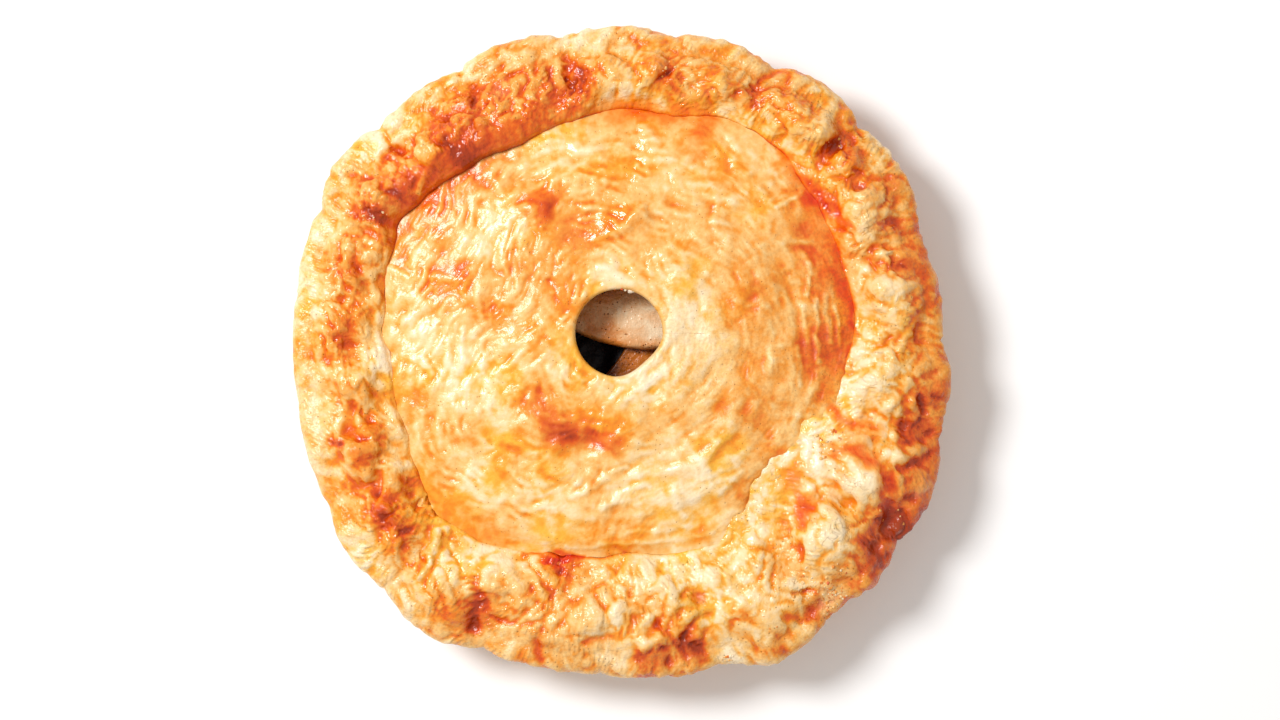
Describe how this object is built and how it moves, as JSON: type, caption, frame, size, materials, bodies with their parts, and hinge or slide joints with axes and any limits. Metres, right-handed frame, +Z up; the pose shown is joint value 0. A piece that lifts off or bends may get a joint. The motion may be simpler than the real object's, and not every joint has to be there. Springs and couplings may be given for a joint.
{
  "type": "fruit pie",
  "caption": "Round baked double-crust fruit pie with a thick pinched and folded rim, a domed top crust and a round steam vent that shows the fruit inside.",
  "frame": {"origin": "centre of the pie's bounding box at its base, on the surface it rests on", "axes": "+Z up through the lid, +X to the right and +Y to the top of the picture, which looks straight down"},
  "size_m": [0.2622, 0.2603, 0.051],
  "materials": {
    "rim_pastry": "baked, golden to red-brown, part glazed",
    "lid_pastry": "baked golden with a glossy egg wash",
    "cooked_filling": "wet, dark brown syrup and fruit",
    "fruit_flesh": "wet cooked fruit with spice specks"
  },
  "bodies": {
    "root": {"bottom_crust": "rim_pastry", "top_crust": "lid_pastry", "filling": "cooked_filling", "fruit_slice_upper": "fruit_flesh", "fruit_slice_lower": "fruit_flesh"}
  },
  "joints": []
}
